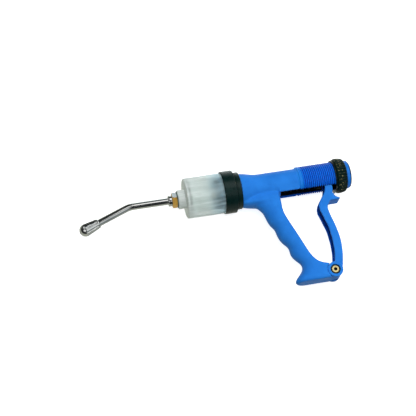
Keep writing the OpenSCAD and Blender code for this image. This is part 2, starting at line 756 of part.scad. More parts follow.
module thread_sleeve() color(deep_blue) gun() {
  turns = floor(thread_len / thread_pitch) - 1;
  crest = thread_od / 2;
  root = crest - thread_depth;
  lead = (thread_len - turns * thread_pitch) / 2;
  difference() {
    turned() polygon(concat(
      [[0, thread_x + face_gap], [crest, thread_x + face_gap]],
      [for (i = [0 : turns - 1]) each
        let (x = thread_x + lead + i * thread_pitch)
        [[crest, x + 0.2 * thread_pitch], [root, x + 0.45 * thread_pitch],
         [root, x + 0.55 * thread_pitch], [crest, x + 0.8 * thread_pitch]]],
      [[crest, tube_end], [0, tube_end]]));
    rod_x(sleeve_d + 2 * fit_gap, thread_x - 1, tube_end + 1);
    translate([thread_x - 1, -thread_od, -slot_w / 2])
      cube([slot_end - thread_x + 1, thread_od, slot_w]);
  }
}

module end_collar() color(blue) gun() difference() {
  edge_steps = 6;
  union() {
    turned() polygon(concat(
      [[0, tube_end], [end_d / 2, tube_end]],
      [for (i = [0 : edge_steps])
        let (a = 90 * i / edge_steps)
        [end_d / 2 - end_edge * (1 - cos(a)), tube_end + end_len - end_edge * (1 - sin(a))]],
      [[0, tube_end + end_len]]));
    rod_x(body_hole - 2 * fit_gap, tube_end - end_spigot_len, tube_end + 1);
  }
  rod_x(end_hole, tube_end - end_spigot_len - 1, tube_end + end_len + 1);
}

module dose_stop_washer() color(black) gun() difference() {
  front = stop_rear - stop_t;
  key_half = slot_w / 2 - yoke_gap;
  rod_x(stop_d, front, stop_rear);
  difference() {
    rod_x(thread_od + 2 * run_gap, front - 1, stop_rear + 1);
    translate([front - stop_t, stop_key - 1.5 * thread_od, -key_half])
      cube([3 * stop_t, thread_od, 2 * key_half]);
  }
}

module dose_nut() color(black) gun() {
  edge_steps = 5;
  r = dose_d / 2;
  difference() {
    turned() polygon(concat(
      [[0, dose_front]],
      [for (i = [0 : edge_steps])
        let (a = 90 * i / edge_steps)
        [r - dose_edge * (1 - sin(a)), dose_front + dose_edge * (1 - cos(a))]],
      [for (i = [0 : edge_steps])
        let (a = 90 * i / edge_steps)
        [r - dose_edge * (1 - cos(a)), dose_rear - dose_edge * (1 - sin(a))]],
      [[0, dose_rear]]));
    rod_x(thread_od + 2 * run_gap, dose_front - 1, dose_rear + 1);
    for (i = [0 : dose_flutes - 1])
      rotate([360 * i / dose_flutes, 0, 0])
        translate([0, r + flute_d / 6, 0])
          along_x(dose_front - 1)
            cylinder(d = flute_d, h = dose_len + 2, $fn = 20);
  }
}

// A place on the lever: share of the way from pivot to nose, and distance behind that line
function on_lever(t, back) = pivot + t * (nose - pivot) + [back, 0];
function lever_shares(a, b) = [for (i = [0 : lever_steps]) a + (b - a) * i / lever_steps];
lever_low = lever_rows[0][0];
lever_high = lever_rows[len(lever_rows) - 1][0];

module lever_side() {
  shares = lever_shares(lever_low, lever_high);
  foot = on_lever(lever_high, finger_back);
  polygon(concat(
    [for (t = shares) on_lever(t, curve(t, lever_rows, 1))],
    [for (i = [lever_steps : -1 : 0]) on_lever(shares[i], curve(shares[i], lever_rows, 2))]));
  translate(pivot)
    circle(r = ear_r);
  translate(nose)
    circle(r = nose_r);
  polygon([
    nose - [finger_w / 2, 0], nose + [finger_w / 2, 0],
    foot + [finger_w / 2, -1], foot - [finger_w / 2, 1]]);
}

// The hollow of the lever, open to the front, to the ears below and to the finger above
module lever_hollow() {
  low = 2 * ear_r / norm(nose - pivot);
  shares = lever_shares(low, lever_high);
  polygon(concat(
    [for (t = shares) on_lever(t, curve(t, lever_rows, 2) - lever_web)],
    [for (p = [[lever_high, 1], [1.2, 1], [1.2, -1], [-0.3, -1], [-0.3, 1], [low, 1]])
      on_lever(p[0], 3 * ear_r * p[1])]));
}

module lever() color(blue) gun() difference() {
  union() {
    difference() {
      translate([0, 0, -lever_w / 2])
        linear_extrude(lever_w)
          lever_side();
      translate([0, 0, -lever_gap / 2])
        linear_extrude(lever_gap)
          lever_hollow();
    }
    difference() {
      pin_z(2 * ear_r, -ear_w / 2, ear_w / 2);
      pin_z(3 * ear_r, -lever_gap / 2, lever_gap / 2);
    }
    translate([0, 0, -lever_w / 2])
      linear_extrude(lever_w)
        polygon([for (row = shelf_rows) on_lever(row[0], row[1])]);
  }
  pin_z(screw_d + 2 * fit_gap, -ear_w, ear_w);
  pin_z(recess_d, ear_w / 2 - recess_depth, ear_w);
  pin_z(recess_d, -ear_w, -ear_w / 2 + recess_depth);
}

module pivot_bush() color(brass) gun() difference() {
  pin_z(pivot_bush_od, -tongue_t / 2, tongue_t / 2);
  pin_z(screw_d + 2 * run_gap, -tongue_t, tongue_t);
}

module pivot_screw() color(brass) gun() {
  head_z = ear_w / 2 - recess_depth;
  difference() {
    union() {
      pin_z(screw_d, -ear_w / 2 + 0.3, head_z + 1);
      pin_z(screw_head_d, head_z, head_z + screw_head_h);
    }
    translate([pivot.x, pivot.y, head_z + screw_head_h - socket_depth])
      cylinder(d = socket_af / cos(30), h = socket_depth + 1, $fn = 6);
  }
}

module pivot_nut() color(steel) gun() {
  back_z = -ear_w / 2 + recess_depth;
  difference() {
    translate([pivot.x, pivot.y, back_z - pivot_nut_h])
      cylinder(d = pivot_nut_af / cos(30), h = pivot_nut_h, $fn = 6);
    pin_z(screw_d + 2 * fit_gap, -ear_w, ear_w);
  }
}

nozzle_tip();
nozzle_tube();
nozzle_collar();
nozzle_fitting();
nozzle_washer();
outlet_spring();
outlet_ball();
barrel();
barrel_seal();
barrel_nut();
inlet_retainer();
inlet_ball();
piston_head();
piston_rings();
piston_rod();
rod_seal();
rod_bush();
spring_seat();
return_spring();
rod_locknut();
crosshead();
hose_tail();
handle_body();
thread_sleeve();
end_collar();
dose_stop_washer();
dose_nut();
lever();
pivot_bush();
pivot_screw();
pivot_nut();
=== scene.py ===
"""A livestock drencher that lies on its right side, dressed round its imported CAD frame.

Lengths in this file are millimetres in gun coordinates: X runs along the barrel's axis towards the
rear, from the front face of the barrel nut, Y is the gun's up and Z its left side, towards the
camera. frame_points() turns them into metres in the CAD frame. Lights and the anchors of the
springs are given in metres of that frame.
"""
import math
from contextlib import contextmanager

import bmesh
import bpy
import numpy as np
from mathutils import Matrix, Vector


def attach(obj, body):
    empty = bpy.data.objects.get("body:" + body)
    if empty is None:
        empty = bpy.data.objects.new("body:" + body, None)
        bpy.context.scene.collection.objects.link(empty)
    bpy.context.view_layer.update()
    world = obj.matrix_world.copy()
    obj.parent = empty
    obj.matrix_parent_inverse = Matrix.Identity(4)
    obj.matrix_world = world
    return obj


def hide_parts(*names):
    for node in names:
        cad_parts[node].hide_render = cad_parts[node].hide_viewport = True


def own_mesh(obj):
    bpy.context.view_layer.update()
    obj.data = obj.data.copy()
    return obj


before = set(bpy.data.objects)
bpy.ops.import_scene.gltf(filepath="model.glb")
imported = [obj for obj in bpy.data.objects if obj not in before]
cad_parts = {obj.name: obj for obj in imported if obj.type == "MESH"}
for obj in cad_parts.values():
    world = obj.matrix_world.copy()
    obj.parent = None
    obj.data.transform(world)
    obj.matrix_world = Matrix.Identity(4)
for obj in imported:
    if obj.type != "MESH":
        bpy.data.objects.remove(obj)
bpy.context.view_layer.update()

MM = 0.001
TURN = 2 * math.pi
TINY = 1e-6
TAIL_END = 130.0  # gun x of the frame's origin, the end of the hose tail
NUT_RIM = 21.65  # radius of the barrel nut, which rests on the floor
BEND = math.radians(20.4)  # between the nozzle's two arms
BEND_CORNER = (-94.5, 0.0, 0.0)
PIVOT = (93.3, -99.8, 0.0)
NOZZLE_OUTER, NOZZLE_INNER = 3.5, 2.5
NOZZLE_SOCKET = 3.55  # radius of the sockets that hold the nozzle's tube
HEX_FLATS, HEX_CORE = 13.6, 6.3  # the fitting: across its flats, and the radius that stays round
THREAD_FRONT, THREAD_END = 78.15, 127.1
THREAD_RADIUS, THREAD_BORE = 15.0, 12.65
SLOT_FRONT, SLOT_END = 58.0, 118.1
SLOT_HALF = 9.0  # half the width of the slot under the tube
RAIL_FOOT = -11.7  # y of the lower edge of the rails along the slot


# ---- mesh helpers ----


def frame_points(points):
    """Gun coordinates in millimetres as frame coordinates in metres."""
    return (np.asarray(points, float) - (TAIL_END, 0, 0)) * MM


def frame_x(x):
    """A gun x in millimetres as a frame x in metres."""
    return (x - TAIL_END) * MM


def unit(vectors):
    """A vector, or each row of several, at length one."""
    return vectors / np.linalg.norm(vectors, axis=-1, keepdims=True)


def spaced(count):
    """Angles spaced evenly round a circle."""
    return np.arange(count) * TURN / count


def off_centre(angles, pitch):
    """Angles measured from the nearest multiple of a pitch."""
    return (angles + pitch / 2) % pitch - pitch / 2


def fillet(corners, steps=5):
    """The closed (x, r) outline of (x, r, rounding) corners with each corner rounded."""
    most = 0.48  # of a side's length, so that the roundings at its two ends stay apart
    outline = []
    for i, (x, r, rounding) in enumerate(corners):
        corner = np.array((x, r))
        back = np.array(corners[i - 1][:2]) - corner
        ahead = np.array(corners[(i + 1) % len(corners)][:2]) - corner
        room = most * min(np.linalg.norm(back), np.linalg.norm(ahead))
        back, ahead = unit(back), unit(ahead)
        middle = back + ahead
        if rounding <= 0 or np.linalg.norm(middle) < TINY:
            outline.append((x, r))
            continue
        half = math.acos(float(np.clip(back @ ahead, -1, 1))) / 2
        run = min(rounding / math.tan(half), room)
        centre = corner + unit(middle) * run / math.cos(half)
        first, last = corner + back * run - centre, corner + ahead * run - centre
        start = math.atan2(first[1], first[0])
        sweep = math.atan2(last[1], last[0]) - start
        sweep = (sweep + math.pi) % TURN - math.pi
        radius = np.linalg.norm(first)
        for k in range(steps + 1):
            a = start + sweep * k / steps
            outline.append((centre[0] + radius * math.cos(a), centre[1] + radius * math.sin(a)))
    return outline


def ring_corners(x0, x1, inner, outer, inside=0.3, outside=0.3):
    """The corners of a plain ring, with its roundings inside and outside."""
    return [(x0, inner, inside), (x0, outer, outside), (x1, outer, outside), (x1, inner, inside)]


def join_rings(rings, count, closed=False):
    """Quads between rings of points, also from the last to the first where closed. A ring of one
    point is a pole, with triangles round it."""
    verts, rows = [], []
    for ring in rings:
        first = len(verts)
        verts += [tuple(p) for p in ring]
        rows.append([first] * count if len(ring) == 1 else list(range(first, first + count)))
    faces = []
    for a, b in zip(rows, rows[1:] + (rows[:1] if closed else [])):
        for j in range(count):
            k = (j + 1) % count
            face = [a[j], a[k], b[k], b[j]]
            faces.append([v for n, v in enumerate(face) if v not in face[:n]])
    return np.array(verts), faces


def lathe(outline, count=96, shape=None, closed=True):
    """Turns an (x, r) outline about the X axis. shape(x, r, angles) gives the radii of a row that
    isn't round. A closed outline makes a ring, and an open one begins and ends on the axis."""
    angles = spaced(count)
    rings = []
    for x, r in outline:
        if r < TINY:
            rings.append([(x, 0.0, 0.0)])
            continue
        radii = shape(x, r, angles) if shape else np.full(count, r)
        rings.append([(x, q * math.cos(a), q * math.sin(a)) for q, a in zip(radii, angles)])
    return join_rings(rings, count, closed)


def torus(x, mean, radius, count=96, sides=20):
    """A round ring about the X axis."""
    around = [(x + radius * math.cos(a), mean + radius * math.sin(a)) for a in spaced(sides)]
    return lathe(around, count)


def path_directions(path, up):
    """Unit vectors at each point of a path: along it, to its side and over it."""
    along = unit(np.gradient(path, axis=0))
    side = unit(np.cross(along, up))
    return along, side, np.cross(side, along)


def circle(centre, radius, side, over, count):
    """Points of a circle in the plane of two directions."""
    return [centre + radius * (math.cos(a) * side + math.sin(a) * over) for a in spaced(count)]


def round_bar(path, radius, count, up):
    """A round bar along a path of points, closed with a low dome at each end."""
    along, side, over = path_directions(path, up)
    height = 0.35 * radius
    dome = ((0.6, 0.8), (0.9, 0.35))  # share of the radius, share of the height

    def cap(end, way):
        rise = way * along[end] * height
        return [[path[end] + rise]] + [
            circle(path[end] + rise * up_share, radius * share, side[end], over[end], count)
            for share, up_share in dome]

    middle = [circle(p, radius, s, o, count) for p, s, o in zip(path, side, over)]
    return join_rings(cap(0, -1) + middle + cap(-1, 1)[::-1], count)


def hollow_tube(path, outer, inner, count=48):
    """A tube along a flat path, with its bore and its two ring-shaped ends."""
    path = np.asarray(path, float)
    _, side, over = path_directions(path, (0, 0, 1))
    order = range(len(path))
    lanes = [(i, outer) for i in order] + [(i, inner) for i in reversed(order)]
    rings = [circle(path[i], radius, side[i], over[i], count) for i, radius in lanes]
    return join_rings(rings, count, closed=True)


def on_lower_arm(points):
    """Points drawn along X as points along the nozzle's lower arm, from the corner of the bend."""
    p = np.asarray(points, float)
    along = np.array((-math.cos(BEND), -math.sin(BEND), 0))
    side = np.array((math.sin(BEND), -math.cos(BEND), 0))
    return BEND_CORNER + p[:, :1] * along + p[:, 1:2] * side + p[:, 2:] * np.array((0, 0, 1))


def on_pivot(points):
    """Points drawn along X as points along the pivot's axis."""
    p = np.asarray(points, float)
    return np.stack([PIVOT[0] + p[:, 1], PIVOT[1] + p[:, 2], p[:, 0]], 1)


@contextmanager
def editing(mesh):
    """A mesh opened as a bmesh, which is written back at the end."""
    bm = bmesh.new()
    bm.from_mesh(mesh)
    yield bm
    bm.to_mesh(mesh)
    bm.free()


def linked(name, data):
    """A new object of the scene."""
    obj = bpy.data.objects.new(name, data)
    bpy.context.scene.collection.objects.link(obj)
    return obj


def new_object(name, verts, faces):
    """An object of gun-coordinate points, with its normals outward."""
    mesh = bpy.data.meshes.new(name)
    mesh.from_pydata(frame_points(verts).tolist(), [], [list(f) for f in faces])
    mesh.validate()
    with editing(mesh) as bm:
        bmesh.ops.recalc_face_normals(bm, faces=bm.faces)
    return linked(name, mesh)


def bake_modifiers(obj):
    """Puts the result of the object's modifiers into its mesh."""
    bpy.context.view_layer.update()
    graph = bpy.context.evaluated_depsgraph_get()
    mesh = bpy.data.meshes.new_from_object(obj.evaluated_get(graph))
    obj.modifiers.clear()
    obj.data = mesh


def combine(obj, other, operation):
    """A boolean of two objects, in triangles. The second one is used up."""
    tool = obj.modifiers.new("combine", "BOOLEAN")
    tool.operation, tool.solver, tool.object = operation, "EXACT", other
    bake_modifiers(obj)
    bpy.data.objects.remove(other)
    with editing(obj.data) as bm:
        bmesh.ops.triangulate(bm, faces=bm.faces)


def box_object(low, high):
    """A box between two gun-coordinate corners, used as a cutter or a key."""
    xs, ys, zs = zip(low, high)
    verts = [(x, y, z) for x in xs for y in ys for z in zs]
    faces = [(0, 1, 3, 2), (4, 6, 7, 5), (0, 4, 5, 1), (2, 3, 7, 6), (0, 2, 6, 4), (1, 5, 7, 3)]
    return new_object("box", verts, faces)


def moulded(name, node, voxel, passes, additions=()):
    """A node's solid with any additions, remeshed finely and relaxed so that its edges have a
    moulded rounding. Close to the pivot the edges stay crisp, because the fork and the lever's boss
    meet there."""
    crisp, run, least = 9.0, 8.0, 0.12  # distance, run to the full share, share within the distance
    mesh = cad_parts[node].data.copy()
    with editing(mesh) as bm:
        bmesh.ops.remove_doubles(bm, verts=bm.verts, dist=1e-7)
        for verts, faces in additions:
            made = [bm.verts.new(p) for p in frame_points(verts)]
            fresh = [bm.faces.new([made[v] for v in face]) for face in faces]
            bmesh.ops.recalc_face_normals(bm, faces=fresh)
    mesh.materials.clear()
    obj = linked(name, mesh)
    remesh = obj.modifiers.new("remesh", "REMESH")
    remesh.mode, remesh.voxel_size = "VOXEL", voxel * MM
    bake_modifiers(obj)
    points = np.zeros(len(obj.data.vertices) * 3)
    obj.data.vertices.foreach_get("co", points)
    edges = np.zeros(len(obj.data.edges) * 2, int)
    obj.data.edges.foreach_get("vertices", edges)
    points = points.reshape(-1, 3)
    away = np.hypot(*(points - frame_points(PIVOT))[:, :2].T) / MM
    share = np.clip((away - crisp) / run, least, 1)
    points = relax(points, edges.reshape(-1, 2), passes, share)
    obj.data.vertices.foreach_set("co", points.ravel())
    obj.data.update()
    return obj


def relax(points, edges, passes, share):
    """Moves each point towards the middle of its neighbours by half its share, several times."""
    count = len(points)
    degree = np.bincount(edges.ravel(), minlength=count)
    for _ in range(passes):
        total = np.stack([
            np.bincount(edges[:, 0], points[edges[:, 1], k], count)
            + np.bincount(edges[:, 1], points[edges[:, 0], k], count) for k in range(3)], 1)
        points = points + 0.5 * share[:, None] * (total / degree[:, None] - points)
    return points


def dress(obj, body, slot, material, *nodes, sharp=40):
    """Finishes a piece: smooth shading up to an angle, its material, its body and its CAD nodes."""
    obj.data.shade_smooth()
    obj.data.set_sharp_from_angle(angle=math.radians(sharp))
    obj.data.materials.clear()
    obj.data.materials.append(material)
    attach(obj, body)
    if nodes:
        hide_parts(*nodes)


def turned(name, corners, body, slot, material, *nodes, count=96, place=None):
    """A turned piece from the rounded corners of its closed outline."""
    verts, faces = lathe(fillet(corners), count)
    obj = new_object(name, place(verts) if place else verts, faces)
    dress(obj, body, slot, material, *nodes)


def repaint(obj, material, chosen):
    """Gives a second material to the faces that are chosen."""
    obj.data.materials.append(material)
    for face in obj.data.polygons:
        if chosen(face):
            face.material_index = 1


# ---- materials ----


def add(tree, kind, inputs=None, **settings):
    """A shader node with its settings, and its inputs as values or as links from sockets."""
    node = tree.nodes.new("ShaderNode" + kind)
    for key, value in settings.items():
        setattr(node, key, value)
    for key, value in (inputs or {}).items():
        feed(tree, node.inputs[key], value)
    return node


def feed(tree, socket, value):
    """Sets a socket to a value, or links it to another socket."""
    if isinstance(value, bpy.types.NodeSocket):
        tree.links.new(value, socket)
    else:
        socket.default_value = value


def linear(red, green, blue):
    """An 8-bit display colour as linear light."""
    return tuple((c / 255 / 12.92) if c < 10.3 else ((c / 255 + 0.055) / 1.055) ** 2.4
                 for c in (red, green, blue)) + (1.0,)


def noise(tree, scale, detail, stretch=(1, 1, 1), roughness=0.5):
    """Noise in the piece's own coordinates, at a scale per millimetre."""
    place = add(tree, "Mapping", {
        "Vector": add(tree, "TexCoord").outputs["Object"],
        "Scale": tuple(scale / MM * s for s in stretch)})
    made = add(tree, "TexNoise", {
        "Vector": place.outputs["Vector"], "Scale": 1.0, "Detail": detail, "Roughness": roughness})
    return made.outputs["Fac"]


def spread(tree, value, low, high, to_low=0, to_high=1):
    """The value's range mapped to another one."""
    made = add(tree, "MapRange", {
        "Value": value, "From Min": low, "From Max": high, "To Min": to_low, "To Max": to_high})
    return made.outputs["Result"]


def times(tree, first, *others):
    """The product of several values."""
    for other in others:
        first = add(tree, "Math", {0: first, 1: other}, operation="MULTIPLY").outputs["Value"]
    return first


def blended(tree, share, first, second):
    """Two colours mixed by a share."""
    made = add(tree, "Mix", data_type="RGBA", clamp_factor=True)
    for name, value in (("Factor_Float", share), ("A_Color", first), ("B_Color", second)):
        feed(tree, next(s for s in made.inputs if s.identifier == name), value)
    return next(s for s in made.outputs if s.identifier == "Result_Color")


def shader_inputs(made):
    """The sockets of a material's shader."""
    return made.node_tree.nodes["Principled BSDF"].inputs


def finish(name, colour, other, rough, grain=3.0, relief=0.012, worn=None, pale_edge_share=0.5,
           stretch=(1, 1, 1), **values):
    """A material: two colours clouded together, uneven roughness, a fine relief and, where
    worn is a colour, paler edges, which are wear on the blue and painted sheen on the teal black. values
    are set on the shader's own sockets."""
    cloud, rub, smear = 0.08, 0.35, 0.22  # scales of the noises, per millimetre
    made = bpy.data.materials.new(name)
    made.use_nodes = True
    tree, sockets = made.node_tree, shader_inputs(made)
    for key, value in values.items():
        sockets[key.replace("_", " ").title().replace("Ior", "IOR")].default_value = value
    base = blended(tree, spread(tree, noise(tree, cloud, 5), 0.35, 0.65), colour, other)
    if worn:
        edge = spread(tree, add(tree, "NewGeometry").outputs["Pointiness"], 0.52, 0.60)
        pale_patches = spread(tree, noise(tree, rub, 4), 0.4, 0.65, 0, pale_edge_share)
        base = blended(tree, times(tree, edge, pale_patches), base, worn)
    tree.links.new(base, sockets["Base Color"])
    uneven = spread(tree, noise(tree, smear, 6, stretch, 0.65), 0.3, 0.7, *rough)
    tree.links.new(uneven, sockets["Roughness"])
    bump = add(tree, "Bump", {
        "Height": noise(tree, grain, 3, stretch), "Strength": 1.0, "Distance": relief * MM})
    tree.links.new(bump.outputs["Normal"], sockets["Normal"])
    return made


def place_of(tree):
    """Sockets for a point's X, Y and Z in the frame, in metres."""
    return add(tree, "SeparateXYZ", {"Vector": add(tree, "TexCoord").outputs["Object"]}).outputs


def radius_of(tree):
    """A socket for a point's distance from the barrel's axis, in metres."""
    place = add(tree, "TexCoord").outputs["Object"]
    across = add(tree, "VectorMath", {0: place, 1: (0, 1, 1)}, operation="MULTIPLY")
    far = add(tree, "VectorMath", {0: across.outputs["Vector"]}, operation="LENGTH")
    return far.outputs["Value"]


def aside(tree, place):
    """A socket for a point's distance from the gun's middle plane, in metres."""
    return add(tree, "Math", {0: place["Z"]}, operation="ABSOLUTE").outputs["Value"]


def tint(made, share, colour):
    """Mixes a colour into a material's own by a share."""
    tree, base = made.node_tree, shader_inputs(made)["Base Color"]
    tree.links.new(blended(tree, share, base.links[0].from_socket, colour), base)


def tint_behind(made, colour, x, run=0.2):
    """Colours what lies behind a gun x, over a run. A negative run colours what lies ahead."""
    tree = made.node_tree
    tint(made, spread(tree, place_of(tree)["X"], frame_x(x), frame_x(x + run)), colour)


def paint_bore_shade(made, colour, radius, run=0.3):
    """Darkens what lies within a radius of the barrel's axis: painted shade inside the bore."""
    tree = made.node_tree
    tint(made, spread(tree, radius_of(tree), (radius + run) * MM, radius * MM), colour)


def paint_groove_shade(made, colour):
    """Darkens the thread's grooves, from the sleeve's second turn on: painted shade in the grooves."""
    tree = made.node_tree
    begun = spread(tree, place_of(tree)["X"], frame_x(79.0), frame_x(82.0))
    deep = spread(tree, radius_of(tree), 14.9 * MM, 14.2 * MM)
    tint(made, times(tree, begun, deep), colour)


def paint_hollow_shade(made, colour, half_width):
    """Painted shade in the lever's hollow: darkens what lies between its side walls and faces
    neither back nor down."""
    tree = made.node_tree
    facing = add(tree, "SeparateXYZ", {"Vector": add(tree, "NewGeometry").outputs["Normal"]}).outputs
    between = spread(
        tree, aside(tree, place_of(tree)), (half_width + 0.5) * MM, half_width * MM, 0, 0.85)
    not_back = spread(tree, facing["X"], 0.35, 0.15)
    not_down = spread(tree, facing["Y"], -0.7, -0.5)
    tint(made, times(tree, between, not_back, not_down), colour)


def tint_slot(made, colour):
    """Shades the walls of the slot under the tube."""
    tree = made.node_tree
    place = place_of(tree)
    on_wall = spread(tree, aside(tree, place), (SLOT_HALF + 0.7) * MM, (SLOT_HALF + 0.4) * MM, 0, 0.85)
    behind = spread(tree, place["X"], frame_x(SLOT_FRONT - 1), frame_x(SLOT_FRONT))
    below = spread(tree, place["Y"], -8.6 * MM, -9.2 * MM)
    above = spread(tree, place["Y"], -13.6 * MM, -13.2 * MM)
    tint(made, times(tree, on_wall, behind, below, above), colour)


def paint_ridge_glints(made, colour, radius):
    """Pale specks on what stands out beyond a radius from the barrel's axis: painted highlights on the
    ridges.
    """
    tree = made.node_tree
    high = spread(tree, radius_of(tree), radius * MM, (radius + 0.3) * MM)
    specks = spread(tree, noise(tree, 0.55, 2), 0.57, 0.65, 0, 0.85)
    tint(made, times(tree, high, specks), colour)


def milky_front(made, front, behind):
    """A barrel that lets less light through at its front wall and boss than behind them."""
    tree = made.node_tree
    share = spread(tree, place_of(tree)["X"], frame_x(-38.0), frame_x(-34.0), front, behind)
    tree.links.new(share, shader_inputs(made)["Transmission Weight"])


def streak(made, colour, most, milky):
    """Pale marks along the barrel's axis, which let less light through."""
    tree = made.node_tree
    marks = noise(tree, 0.7, 4, (0.04, 1, 1))
    tint(made, spread(tree, marks, 0.5, 0.68, 0, most), colour)
    through = shader_inputs(made)["Transmission Weight"]
    dulled = spread(tree, marks, 0.5, 0.68, 1, 1 - milky)
    tree.links.new(times(tree, through.links[0].from_socket, dulled), through)


# painted shade for the inside of the bore
BORE_SHADE = linear(2, 8, 14)
SLOT_SHADE = linear(6, 62, 160)
MOULDED_BLUE = dict(
    colour=linear(37, 119, 213), other=linear(42, 128, 223), rough=(0.40, 0.54),
    worn=linear(90, 168, 236), relief=0.010, grain=1.6, ior=1.24, specular_tint=(0.25, 0.6, 1.0, 1.0))
POLISHED = dict(metallic=1.0, grain=0.4, relief=0.006)

blue = finish("blue_plastic", **MOULDED_BLUE)
paint_hollow_shade(blue, linear(3, 52, 150), 5.4)
bored_blue = finish("bored_blue", **MOULDED_BLUE)
tint_slot(bored_blue, SLOT_SHADE)
paint_bore_shade(bored_blue, BORE_SHADE, 12.9)
rimmed_blue = finish(
    "rimmed_blue", linear(8, 108, 206), linear(13, 117, 216), (0.40, 0.54), grain=1.6, ior=1.36)
tint_behind(rimmed_blue, linear(4, 8, 10), 131.0)
deep_blue = finish(
    "thread_blue", linear(6, 110, 228), linear(9, 118, 236), (0.36, 0.50), grain=2.0, ior=1.34)
paint_groove_shade(deep_blue, linear(1, 60, 170))
tint_behind(deep_blue, linear(10, 120, 218), 82.2, -0.5)  # the plain front of the sleeve
# painted light: the lap step is coloured lighter than its own shading
tint_behind(deep_blue, linear(42, 144, 241), 78.1, -0.3)  # the step where it laps over the tube
tint_slot(deep_blue, SLOT_SHADE)
paint_bore_shade(deep_blue, BORE_SHADE, 12.8)

black = finish("black_plastic", linear(2, 12, 11), linear(4, 18, 16), (0.22, 0.36),
               worn=linear(70, 66, 50), pale_edge_share=0.3, grain=2.5, ior=1.32)
# teal_black's teal tone and pale olive edges are painted sheen
teal_black = finish("teal_black", linear(4, 27, 25), linear(7, 33, 31), (0.22, 0.36),
                    worn=linear(96, 92, 60), pale_edge_share=0.4, grain=2.5, ior=1.25)
ribbed_black = finish(
    "ribbed_black", linear(4, 24, 20), linear(7, 30, 25), (0.22, 0.34), grain=2.5, ior=1.18)
paint_ridge_glints(ribbed_black, linear(150, 140, 100), 17.3)
piston_teal = finish("piston_plastic", linear(2, 74, 96), linear(6, 88, 110), (0.35, 0.5))
rubber = finish("rubber", linear(20, 20, 20), linear(30, 30, 29), (0.6, 0.8), grain=4)
fibre = finish("fibre_washer", linear(84, 104, 98), linear(98, 118, 112), (0.6, 0.8), grain=4)

clear = finish("clear_barrel", linear(213, 222, 218), linear(223, 231, 228), (0.28, 0.42),
               stretch=(0.06, 1, 1), ior=1.25)
milky_front(clear, 0.25, 0.86)
streak(clear, linear(252, 254, 253), 0.75, 0.5)
tint_behind(clear, linear(200, 224, 230), -17.0, 12.0)  # a hint of the piston

chrome = finish("nozzle_chrome", linear(168, 169, 168), linear(180, 180, 177), (0.02, 0.06),
                metallic=1.0, grain=0.12)
brass = finish("brass", linear(206, 158, 70), linear(222, 176, 90), (0.32, 0.46),
               stretch=(6, 1, 1), **POLISHED)
# painted highlight: a white finish for two flats of the fitting's hexagon
glint_facets = finish("painted_highlight_facets", linear(226, 228, 224), linear(238, 240, 238), (0.16, 0.26), **POLISHED)
pale_brass = finish(
    "pale_brass", linear(190, 176, 122), linear(204, 188, 136), (0.30, 0.44), **POLISHED)
steel = finish("steel", linear(70, 72, 74), linear(88, 88, 88), (0.26, 0.40),
               metallic=1.0, stretch=(5, 1, 1), relief=0.006)
# Near-black and dull, for the parts inside the gun: painted shade of the slot they are seen through.
slot_dark_shade = finish(
    "slot_dark_shade_steel", linear(5, 6, 7), linear(9, 10, 11), (0.60, 0.75), relief=0.006, ior=1.15)
ball_steel = finish(
    "ball_steel", linear(190, 190, 192), linear(204, 204, 204), (0.06, 0.14), metallic=1.0)


# ---- shapes of single pieces ----


def slot_rails():
    """The two rails that run along the slot under the tube, flush with the sleeve's own edges."""
    section = [(SLOT_HALF, RAIL_FOOT), (10.4, RAIL_FOOT), (13.0, -3.6), (12.4, -4.5), (SLOT_HALF, -9.4)]
    count = len(section)
    ends = [list(range(count)), list(range(count, 2 * count))]
    sides = [[k, (k + 1) % count, (k + 1) % count + count, k + count] for k in range(count)]
    for side in (1, -1):
        yield [(x, y, side * z) for x in (56.0, 77.4) for z, y in section], ends + sides


def hexagon(flats, core, turn=0.0):
    """A lathe shape that trims the rows beyond the core's radius to a hexagon across those flats."""
    def shape(x, r, angles):
        if r < core:
            return np.full(len(angles), r)
        return np.minimum(r, flats / 2 / np.cos(off_centre(angles + turn, math.pi / 3)))
    return shape


def chamfered_hex(x0, x1, flats, bore, chamfer=0.7, steps=8):
    """The outline of a hexagon nut whose corners are turned off at both ends."""
    low = flats / 2 - 0.15  # just inside the flats
    high = flats / 2 / math.cos(math.pi / 6) + 0.1  # just beyond the corners
    rise = [(chamfer * k / steps, low + (high - low) * k / steps) for k in range(steps + 1)]
    return ([(x0, bore)] + [(x0 + d, r) for d, r in rise]
            + [(x1 - d, r) for d, r in reversed(rise)] + [(x1, bore)])


def fitting_outline():
    """The nozzle's fitting: a hexagon, the spigot in the barrel's boss, the valve's bore and seat,
    and the tube's socket."""
    front, back = -51.2, -46.2
    return chamfered_hex(front, back, HEX_FLATS, NOZZLE_SOCKET)[:-1] + [
        (back, 5.55), (-41.4, 5.55), (-41.0, 5.15), (-41.0, 4.0), (-47.2, 4.0), (-47.2, 2.0),
        (-48.2, 2.0), (-48.2, NOZZLE_SOCKET)]


def nozzle_path():
    """Points from the tube's end in the fitting round the bend to its end in the tip."""
    radius, straight, lower_end = 22.0, -48.2, 43.4
    run = radius * math.tan(BEND / 2)
    start = BEND_CORNER[0] + run
    points = [(x, 0.0, 0.0) for x in np.linspace(straight, start, 16)[:-1]]
    points += [(start - radius * math.sin(a), radius * (math.cos(a) - 1), 0.0)
               for a in np.linspace(0, BEND, 13)]
    lower = on_lower_arm([(s, 0, 0) for s in np.linspace(run, lower_end, 14)[1:]])
    return points + [tuple(p) for p in lower]


def tip_flutes(x, r, angles):
    """Eight grooves along the tip, round in section and closed at both ends."""
    if r < 4.0:
        return np.full(len(angles), r)
    groove, depth, first, last, count = 1.1, 0.55, 36.6, 49.4, 8
    across = r * np.sin(off_centre(angles, TURN / count))
    beyond = max(first - x, x - last, 0.0)
    reach = groove ** 2 - across ** 2 - beyond ** 2
    cut = r + groove - depth - np.sqrt(np.maximum(reach, 0))
    return np.where(reach > 0, np.minimum(r, cut), r)


